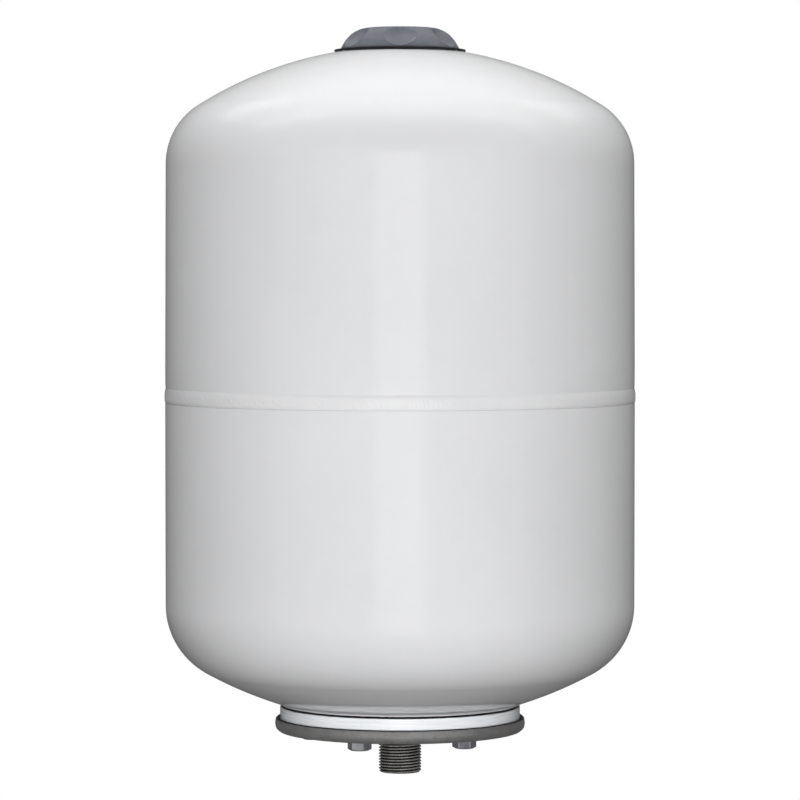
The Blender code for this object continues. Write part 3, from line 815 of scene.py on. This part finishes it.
# Flange bolts: chamfered hexagon head with a washer face and a rolled thread.
def bolt_mesh():
    corner = BOLT_AF / math.sqrt(3)
    cols = 96
    ang = np.arange(cols) * 2 * math.pi / cols
    flat = (BOLT_AF / 2) / np.cos((ang + math.pi / 6) % (math.pi / 3)
                                  - math.pi / 6)
    flat = np.minimum(flat, corner - 0.12)
    levels = []
    dish = [(0.0, -BOLT_HEAD_H + 0.35), (3.4, -BOLT_HEAD_H + 0.32),
            (4.4, -BOLT_HEAD_H + 0.05), (4.7, -BOLT_HEAD_H),
            (5.2, -BOLT_HEAD_H), (5.5, -BOLT_HEAD_H + 0.06)]
    for r, z in dish:
        levels.append((np.full(cols, r), np.full(cols, z)))
    # the 30 degree cone meets the flats in the curves a hexagon head shows
    for k in range(1, 13):
        grow = 5.5 + (corner - 5.5) * k / 12
        r = np.minimum(flat, grow)
        z = -BOLT_HEAD_H + 0.06 + (r - 5.5) * math.tan(math.radians(30))
        levels.append((r, z))
    r_top = levels[-1][0]
    z_top = levels[-1][1]
    for s in (0.02, 0.12, 0.5, 0.86):
        levels.append((r_top, z_top + (-0.55 - z_top) * s))
    levels.append((r_top - 0.0, np.full(cols, -0.42)))
    levels.append((r_top - 0.22, np.full(cols, -0.25)))
    levels.append((np.full(cols, 6.1), np.full(cols, -0.22)))
    levels.append((np.full(cols, 6.0), np.full(cols, 0.0)))
    levels.append((np.full(cols, 4.0), np.full(cols, 0.0)))
    verts = np.concatenate([np.stack([r * np.cos(ang), r * np.sin(ang), z], -1)
                            for r, z in levels])
    faces = []
    for i in range(len(levels) - 1):
        for j in range(cols):
            k = (j + 1) % cols
            faces.append((i * cols + j, i * cols + k, (i + 1) * cols + k,
                          (i + 1) * cols + j))
    top = BOLT_TIP_Z - FLANGE_Z0 + GAP
    tc = 48
    flip = thread_data(3.97, 3.36, 1.25, -top, -1.6, tc, 8, 3.1, 3.97,
                       chamfer=0.9, fade=0.8)
    tv = flip[0].copy()
    tv[:, 2] *= -1
    tv[:, 1] *= -1
    a2 = math.pi / 2 - np.arange(tc) * 2 * math.pi / tc
    ends = [(3.1, top), (0.0, top)]
    cap_v = np.array([[r * math.cos(a), r * math.sin(a), z] for r, z in ends
                      for a in a2])
    cap_f = [(j, (j + 1) % tc, tc + (j + 1) % tc, tc + j) for j in range(tc)]
    low = [(3.97, 1.6), (3.97, -0.3)]
    low_v = np.array([[r * math.cos(a), r * math.sin(a), z] for r, z in low
                      for a in a2])
    return joined((verts, faces), (tv, flip[1]), (cap_v, cap_f),
                  (low_v, cap_f))


bv, bf = bolt_mesh()
for k in range(BOLTS):
    az = BOLT_FIRST_AZ + BOLT_STEP * k
    turn = math.radians(az + HEAD_TURN[k])
    c, s = math.cos(turn), math.sin(turn)
    p = at_azimuth(BOLT_PCD_R, az, FLANGE_Z0 - GAP)
    w = np.stack([bv[:, 0] * c - bv[:, 1] * s + p.x,
                  bv[:, 0] * s + bv[:, 1] * c + p.y, bv[:, 2] + p.z], -1)
    place(make("visual_flange_bolt_%d" % (k + 1), w, bf, BOLT, sharp=24,
               merge=2e-6, weighted=True), "vessel",
          "flange_bolt_%d" % (k + 1))

# Valve boss, stem and their washer.
place(turned("visual_valve_boss", rounded([
    (5.3, 442.0, 0.4), (9.0, 442.0, 0.6), (9.0, BOSS_SEAT_Z, 0.15),
    (14.0, BOSS_SEAT_Z, 0.3), (14.0, BOSS_TOP_Z, 0.5),
    (5.3, BOSS_TOP_Z, 0.35)], 4), 128, WELD_ENAMEL, weighted=True), "vessel",
    "valve_boss")
place(turned("visual_stem_washer", rounded([
    (5.3, BOSS_TOP_Z + GAP, 0.1), (8.0, BOSS_TOP_Z + GAP, 0.15),
    (8.0, STEM_SHOULDER_Z - GAP, 0.15), (5.3, STEM_SHOULDER_Z - GAP, 0.1)], 4),
    96, FIBRE, weighted=True), "vessel", "stem_washer")

SC = 96
ang = -math.pi / 2 + np.arange(SC) * 2 * math.pi / SC


def ring_strip(points):
    rv = np.array([[r * math.cos(a), r * math.sin(a), z] for r, z in points
                   for a in ang])
    rf = [(i * SC + j, i * SC + (j + 1) % SC, (i + 1) * SC + (j + 1) % SC,
           (i + 1) * SC + j) for i in range(len(points) - 1)
          for j in range(SC)]
    return rv, rf


low = thread_data(4.98, 4.42, 1.0, 437.0, 450.4, SC, 8, 4.3, 4.6, chamfer=0.7)
high = thread_data(6.0, 5.2, 1.5, -STEM_TOP_Z, -STEM_SHOULDER_Z - 0.6, SC, 10,
                   5.05, 5.3, chamfer=0.8, fade=0.6)
hv = high[0].copy()
hv[:, 2] *= -1
hv[:, 0] *= -1
stem = joined(low, (hv, high[1]),
              ring_strip([(4.6, 450.4), (4.6, STEM_SHOULDER_Z - 0.05),
                          (4.7, STEM_SHOULDER_Z), (5.9, STEM_SHOULDER_Z),
                          (6.0, STEM_SHOULDER_Z + 0.12),
                          (6.0, STEM_SHOULDER_Z + 0.5),
                          (5.3, STEM_SHOULDER_Z + 0.6)]),
              ring_strip([(5.05, STEM_TOP_Z), (3.6, STEM_TOP_Z),
                          (3.3, STEM_TOP_Z - 0.3), (3.3, 437.3),
                          (3.5, 437.0), (4.3, 437.0)]))
place(make("visual_valve_stem", *stem, BRASS, sharp=40, merge=1e-6), "vessel",
      "valve_stem")

core = rounded([
    (1.25, 441.4, 0.1), (2.5, 441.4, 0.2), (3.0, 442.2, 0.2),
    (3.0, 443.4, 0.05), (2.72, 443.6, 0.05), (2.72, 444.5, 0.05),
    (3.0, 444.7, 0.05), (3.0, 455.5, 0.25), (1.25, 455.5, 0.15),
    (1.25, 451.3, 0.05), (1.95, 451.3, 0.1), (1.95, 442.4, 0.1),
    (1.25, 442.4, 0.1)], 3)
place(turned("visual_valve_core", core, 72, BRASS, weighted=True), "vessel",
      "valve_core")

pin = rounded([
    (0.0, 438.6), (2.2, 438.6, 0.2), (2.2, 439.6, 0.2), (0.85, 439.6, 0.15),
    (0.85, 449.0, 0.05), (1.6, 449.0, 0.1), (1.6, 449.8, 0.1),
    (0.85, 449.8, 0.1), (0.85, 456.4, 0.32), (0.0, 456.4)], 4)
place(turned("visual_valve_pin", pin, 48, BRASS, weighted=True), "pin",
      "valve_pin")
place(turned("visual_pin_seal", rounded([
    (1.15, 439.9, 0.15), (2.5, 439.9, 0.3), (2.5, 441.1, 0.3),
    (1.15, 441.1, 0.15)], 5), 64, SEAL), "pin", "pin_seal")


# Pin spring: round wire with closed, ground end turns. On the valve it
# shortens as the pin goes down; here it is drawn at one length.
def spring():
    wire, coil, turns, steps, sides = 0.16, 1.42, 7.0, 420, 12
    z0, z1 = 442.75, 448.7
    t = np.linspace(0, 1, steps + 1)
    a = 2 * math.pi * turns * t
    end = 1.05 / turns
    lead = np.clip((t - end) / (1 - 2 * end), 0, 1)
    z = z0 + wire + 0.33 * np.clip(t / end, 0, 1)
    z = z + (z1 - z0 - 2 * wire - 0.66) * lead
    z = z + 0.33 * np.clip((t - 1 + end) / end, 0, 1)
    path = np.stack([coil * np.cos(a), coil * np.sin(a), z], -1)
    verts, faces = [], []
    for i in range(steps + 1):
        d = path[min(i + 1, steps)] - path[max(i - 1, 0)]
        d /= np.linalg.norm(d)
        out = np.array([math.cos(a[i]), math.sin(a[i]), 0.0])
        up = np.cross(d, out)
        up /= np.linalg.norm(up)
        for k in range(sides):
            w = 2 * math.pi * k / sides
            verts.append(path[i] + wire * (math.cos(w) * out
                                           + math.sin(w) * up))
    for i in range(steps):
        for k in range(sides):
            m = (k + 1) % sides
            faces.append((i * sides + k, i * sides + m,
                          (i + 1) * sides + m, (i + 1) * sides + k))
    faces.append(tuple(range(sides))[::-1])
    faces.append(tuple(steps * sides + k for k in range(sides)))
    verts = np.array(verts)
    verts[:, 2] = np.clip(verts[:, 2], z0 + 0.05, z1 - 0.05)
    return verts, faces


sv, sf = spring()
coil = make("visual_pin_spring", sv, sf, SPRING, sharp=50, merge=0)
place(coil, "vessel", "pin_spring")
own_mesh(coil)


# Valve cap: a moulded knob with six finger hollows round its shoulder.
CAP_SHOULDER = ((36.6, 446.9), (36.2, 448.0), (35.0, 450.1), (33.4, 452.6),
                (31.2, 455.1), (29.0, 456.9), (26.3, 458.4), (24.0, 459.3),
                (21.5, 459.85), (19.5, 460.0))
CAP_ROOM = ((34.2, 446.9), (33.9, 447.6), (32.8, 449.3), (31.3, 451.4),
            (29.3, 453.6), (27.4, 455.1), (25.1, 456.4), (23.2, 457.1),
            (21.2, 457.5), (19.5, 457.6))
HOLLOW_BALL, HOLLOW_TILT = 22.0, 44.4


def hollows(grow, u, w):
    bm = bmesh.new()
    for k in range(6):
        centre = at_azimuth(44.3, 60.0 * k, 468.2)
        turn = (Matrix.Rotation(math.radians(60.0 * k), 4, 'Z')
                @ Matrix.Rotation(math.radians(HOLLOW_TILT), 4, 'X'))
        bmesh.ops.create_uvsphere(bm, u_segments=u, v_segments=w,
                                  radius=HOLLOW_BALL + grow,
                                  matrix=Matrix.Translation(centre) @ turn)
    bmesh.ops.scale(bm, verts=bm.verts, vec=(MM, MM, MM))
    mesh = bpy.data.meshes.new("hollows")
    bm.to_mesh(mesh)
    bm.free()
    obj = bpy.data.objects.new("hollows", mesh)
    bpy.context.scene.collection.objects.link(obj)
    return obj


curve = [(r, min(z, CAP_Z1)) for r, z in smooth_line(CAP_SHOULDER, 5)]
outline = ([(0.0, CAP_Z0), (CAP_R - 0.35, CAP_Z0), (CAP_R - 0.08, CAP_Z0 + 0.1),
            (CAP_R - 0.05, CAP_Z0 + 0.35)] + curve[2:]
           + [(17.0, CAP_Z1), (0.0, CAP_Z1)])
cap = turned("visual_valve_cap", outline, 192, PLASTIC)
cavity = turned("cap_room", [(0.0, CAP_Z0 - 2.0), (34.2, CAP_Z0 - 2.0)]
                + list(CAP_ROOM)
                + [(9.2, 457.6), (9.2, 452.2), (6.35, 452.2), (6.35, 457.6),
                   (0.0, 457.6)], 96, None)
cut(cavity, [hollows(2.0, 32, 28)])
cut(cap, [hollows(0.0, 96, 64), cavity])
cap.data.materials.clear()
cap.data.materials.append(PLASTIC)
cap.data.shade_smooth()
cap.data.set_sharp_from_angle(angle=math.radians(60))
edge_soften(cap, 0.5, 22.0, 4)
place(cap, "cap", "valve_cap")

gasket = rounded([
    (GASKET_IN_R, top_dome_z(GASKET_IN_R) + GAP, 0.2),
    (GASKET_R, top_dome_z(GASKET_R) + GAP, 0.35),
    (GASKET_R, GASKET_TOP_Z, 0.35), (GASKET_IN_R, GASKET_TOP_Z, 0.2)], 5)
place(turned("visual_cap_gasket", gasket, 192, SEAL), "cap_carrier",
      "cap_gasket")


# -------------------------------------------------------- camera and lights
scene = bpy.context.scene
camera = bpy.data.objects.new("camera", bpy.data.cameras.new("camera"))
scene.collection.objects.link(camera)
camera.location = (0.0, -2.4588, 0.3167)
camera.rotation_euler = (math.radians(90.0) - 0.0350172, 0.0, 0.0)
camera.data.lens, camera.data.sensor_width = 179.0, 36.0
camera.data.clip_start, camera.data.clip_end = 0.1, 60.0
scene.camera = camera


def panel(name, at, aim, size_x, size_y, radiance, diffuse=True, glossy=True,
          tint=(1.0, 1.0, 1.0)):
    """A softbox: a rectangle of even radiance that faces its aim."""
    light = bpy.data.lights.new(name, 'AREA')
    light.shape, light.size, light.size_y = 'RECTANGLE', size_x, size_y
    light.energy = radiance * math.pi * size_x * size_y
    light.color = tint
    obj = bpy.data.objects.new(name, light)
    scene.collection.objects.link(obj)
    obj.location = at
    d = Vector(aim) - Vector(at)
    obj.rotation_mode = 'QUATERNION'
    obj.rotation_quaternion = d.to_track_quat('-Z', 'Y')
    obj.visible_camera = False
    obj.visible_diffuse, obj.visible_glossy = diffuse, glossy
    return obj


MID = (0.0, 0.0, 0.24)


def around(azimuth, elevation, distance):
    a, e = math.radians(azimuth), math.radians(elevation)
    return (distance * math.sin(a) * math.cos(e),
            -distance * math.cos(a) * math.cos(e),
            MID[2] + distance * math.sin(e))


# Key from the front, weak fills past both sides, and an overhead softbox
# whose image lies on the upper dome. It is darker towards the back and the
# middle. Two upright softboxes flank the camera.
panel("front_box", around(0, -3, 3.0), MID, 1.2, 1.9, 12.7, True, False)
panel("left_box", around(-95, 12, 3.0), MID, 1.2, 1.2, 1.60, True, False)
panel("right_box", around(95, 10, 3.0), MID, 1.2, 1.2, 1.55, True, False)
panel("back_box", around(180, 8, 3.2), MID, 0.9, 1.6, 9.0, True, False)
panel("top_box", (0.05, 0.45, 2.0), (0.05, 0.45, 0), 3.96, 0.7, 7.4, True,
      False)
panel("top_back_box", (0.05, 1.75, 2.0), (0.05, 1.75, 0), 3.96, 0.4, 6.6,
      True, False)
SHEEN_Y = (-0.6, -0.42, -0.15, 0.25, 0.8, 1.95)
SHEEN_X = (-1.93, -1.3, -0.65, 0.0, 0.75, 1.4, 2.03)
SHEEN = ((0.33, 0.32, 0.31, 0.31, 0.32, 0.33),
         (0.92, 0.90, 0.66, 0.66, 0.90, 0.92),
         (0.98, 0.97, 0.47, 0.47, 0.97, 0.98),
         (0.88, 0.85, 0.27, 0.27, 0.85, 0.88),
         (0.83, 0.78, 0.32, 0.32, 0.78, 0.83))
for j, row in enumerate(SHEEN):
    for k, level in enumerate(row):
        x0, x1, y0, y1 = SHEEN_X[k], SHEEN_X[k + 1], SHEEN_Y[j], SHEEN_Y[j + 1]
        at = ((x0 + x1) / 2, (y0 + y1) / 2, 2.0)
        panel("top_sheen_%d%d" % (j, k), at, (at[0], at[1], 0), x1 - x0,
              y1 - y0, level, False, True)
panel("front_sheen", around(0, 0, 3.4), MID, 2.4, 3.0, 0.03, False, True)
panel("left_front_sheen", around(-42, 0, 3.4), MID, 2.5, 3.0, 0.30, False,
      True)
panel("right_front_sheen", around(42, 0, 3.4), MID, 2.5, 3.0, 0.30, False,
      True)
panel("left_sheen", around(-14, -8, 3.0), MID, 1.05, 2.4, 0.24, False, True)
panel("right_sheen", around(15, -8, 3.0), MID, 1.05, 2.4, 0.24, False, True)
# Lights the floor alone: it hangs below the object and faces down.
panel("floor_box", (0, 0, -1.4), (0, 0, -3.4), 12.0, 12.0, 1.5, True, False)

world = bpy.data.worlds.new("studio")
scene.world = world
world.use_nodes = True
tree = world.node_tree
sky = tree.nodes["Background"]
sky.inputs["Color"].default_value = (1, 1, 1, 1)
path = tree.nodes.new("ShaderNodeLightPath")
level = tree.nodes.new("ShaderNodeMapRange")
level.inputs["To Min"].default_value = 0.14
level.inputs["To Max"].default_value = 1.0
tree.links.new(path.outputs["Is Camera Ray"], level.inputs["Value"])
tree.links.new(level.outputs["Result"], sky.inputs["Strength"])
world.cycles_visibility.diffuse = False
world.cycles_visibility.transmission = False
world.cycles_visibility.scatter = False

mesh = bpy.data.meshes.new("floor")
mesh.from_pydata([(-7, -7, -3.4), (7, -7, -3.4), (7, 7, -3.4), (-7, 7, -3.4)],
                 [], [(0, 1, 2, 3)])
floor = bpy.data.objects.new("floor", mesh)
scene.collection.objects.link(floor)
mat, t, b = shader("pale_floor")
t.links.new(ramp(t, noise(t, coords(t), 1.5, 2.0),
                 [(0.3, (0.80, 0.80, 0.80)), (0.7, (0.84, 0.84, 0.84))]),
            b.inputs["Base Color"])
b.inputs["Roughness"].default_value = 0.7
mesh.materials.append(mat)
floor.visible_diffuse = False
floor.visible_glossy = False

scene.view_settings.view_transform = 'Standard'
scene.view_settings.look = 'None'
scene.view_settings.exposure = 0.0
scene.view_settings.gamma = 1.0
